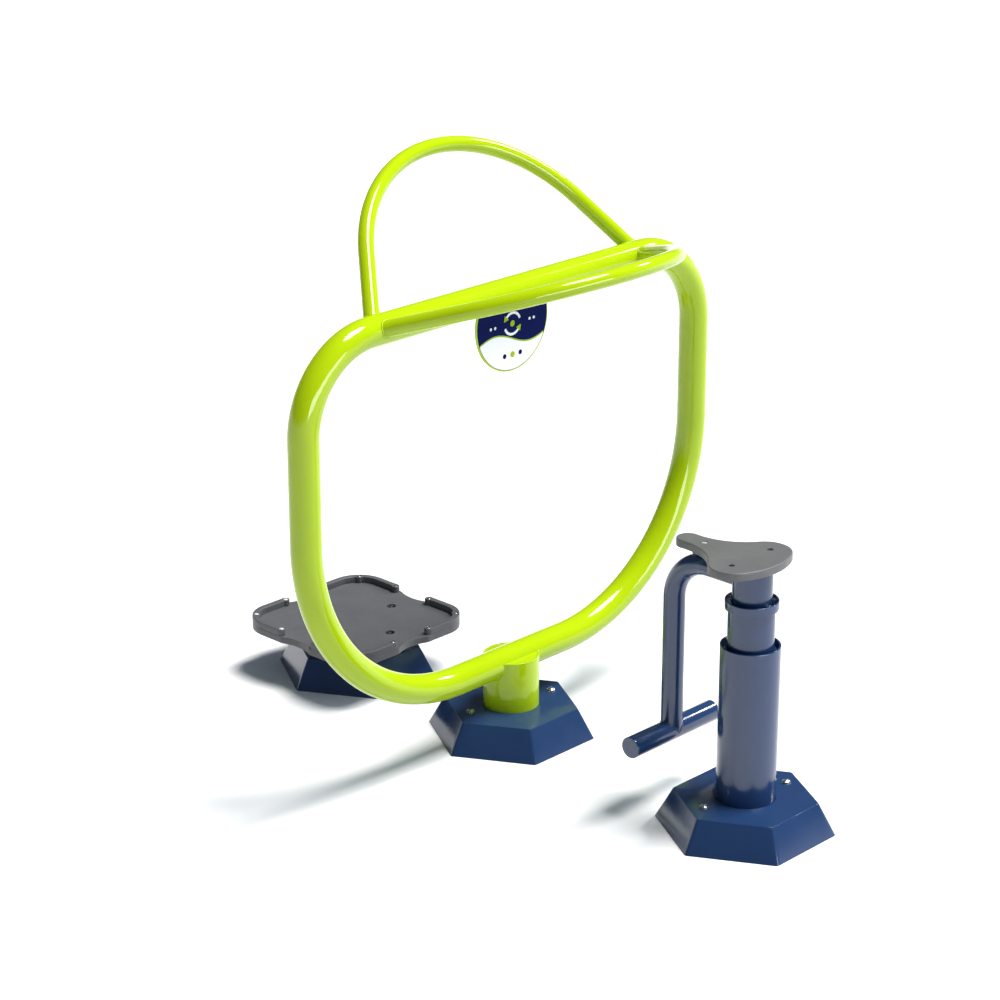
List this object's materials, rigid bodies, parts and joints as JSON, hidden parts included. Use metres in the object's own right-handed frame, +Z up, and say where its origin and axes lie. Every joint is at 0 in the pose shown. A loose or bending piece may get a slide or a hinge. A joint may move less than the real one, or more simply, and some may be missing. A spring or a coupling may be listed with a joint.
{
  "type": "outdoor waist twister",
  "caption": "Outdoor waist twister set: a grab loop with two arched handles and a round sign between a turning standing deck and a turning saddle seat with a swinging footrest.",
  "frame": {"origin": "on the ground at the axis of the loop's post, which is the centre of its anchor circle", "axes": "+Z up, X along the loop's top bar, +Y from the seat towards the standing deck"},
  "size_m": [1.1542, 1.4006, 1.1964],
  "materials": {
    "lime_powder_coat": "glossy lime green powder coat",
    "navy_powder_coat": "glossy navy powder coat",
    "deck_plastic": "dark grey polyethylene board with a fine grain",
    "seat_plastic": "mid grey polyethylene board with a fine grain",
    "sign_print": "glossy printed panel",
    "stainless_screw": "bright stainless steel",
    "zinc_steel": "galvanised steel",
    "bearing_steel": "ground bearing steel",
    "cage_brass": "pressed brass"
  },
  "bodies": {
    "ground_frame": {"loop_base_plate": "zinc_steel", "loop_base_gussets": "lime_powder_coat", "loop_post": "lime_powder_coat", "loop_post_cap": "lime_powder_coat", "loop_frame": "lime_powder_coat", "rear_arch": "lime_powder_coat", "front_arch": "lime_powder_coat", "sign_plate": "lime_powder_coat", "sign_faces": "sign_print", "loop_base_cover": "navy_powder_coat", "platform_base_plate": "zinc_steel", "platform_base_gussets": "navy_powder_coat", "platform_post": "navy_powder_coat", "platform_bearing_housing": "zinc_steel", "platform_outer_races": "bearing_steel", "platform_circlip": "zinc_steel", "platform_stop_ring": "zinc_steel", "platform_base_cover": "navy_powder_coat", "seat_base_plate": "zinc_steel", "seat_base_gussets": "navy_powder_coat", "seat_lower_post": "navy_powder_coat", "seat_centring_rings": "navy_powder_coat", "seat_middle_post": "navy_powder_coat", "seat_collar": "navy_powder_coat", "seat_outer_races": "bearing_steel", "seat_circlip": "zinc_steel", "seat_stop_ring": "zinc_steel", "seat_base_cover": "navy_powder_coat", "cover_pillars": "zinc_steel", "cover_screws": "stainless_screw"},
    "deck_rotor": {"platform_inner_races": "bearing_steel", "platform_bearing_spacer": "zinc_steel", "platform_spindle": "zinc_steel", "platform_spindle_nut": "zinc_steel", "platform_stop_pin": "zinc_steel", "platform_hub_plate": "zinc_steel", "platform_deck": "deck_plastic", "platform_corner_rims": "deck_plastic", "platform_rim_screws": "stainless_screw", "platform_deck_screws": "stainless_screw"},
    "deck_ball_train": {"platform_ball_cages": "cage_brass", "platform_balls": "bearing_steel"},
    "seat_rotor": {"seat_inner_races": "bearing_steel", "seat_bearing_spacer": "zinc_steel", "seat_spindle": "zinc_steel", "seat_spindle_nut": "zinc_steel", "seat_upper_tube": "navy_powder_coat", "seat_stop_lug": "zinc_steel", "seat_top_plate": "navy_powder_coat", "seat_pan": "seat_plastic", "seat_bolts": "stainless_screw", "footrest_arm": "navy_powder_coat", "footrest_bar": "navy_powder_coat", "footrest_end_plates": "navy_powder_coat"},
    "seat_ball_train": {"seat_ball_cages": "cage_brass", "seat_balls": "bearing_steel"}
  },
  "joints": [
    {"name": "deck_twist", "type": "hinge", "parent": "ground_frame", "child": "deck_rotor", "pos_m": [0, 0.458, 0.1], "axis": [0, 0, 1], "range_deg": [-45, 45]},
    {"name": "deck_ball_roll", "type": "hinge", "parent": "ground_frame", "child": "deck_ball_train", "pos_m": [0, 0.458, 0.048], "axis": [0, 0, 1], "range_deg": [-18.1, 18.1]},
    {"name": "seat_twist", "type": "hinge", "parent": "ground_frame", "child": "seat_rotor", "pos_m": [0, -0.615, 0.5], "axis": [0, 0, 1], "range_deg": [-45, 45]},
    {"name": "seat_ball_roll", "type": "hinge", "parent": "ground_frame", "child": "seat_ball_train", "pos_m": [0, -0.615, 0.38], "axis": [0, 0, 1], "range_deg": [-18.1, 18.1]}
  ],
  "couplings": [
    {"joint": "deck_ball_roll", "follows": "deck_twist", "ratio": 0.4008},
    {"joint": "seat_ball_roll", "follows": "seat_twist", "ratio": 0.4008}
  ]
}
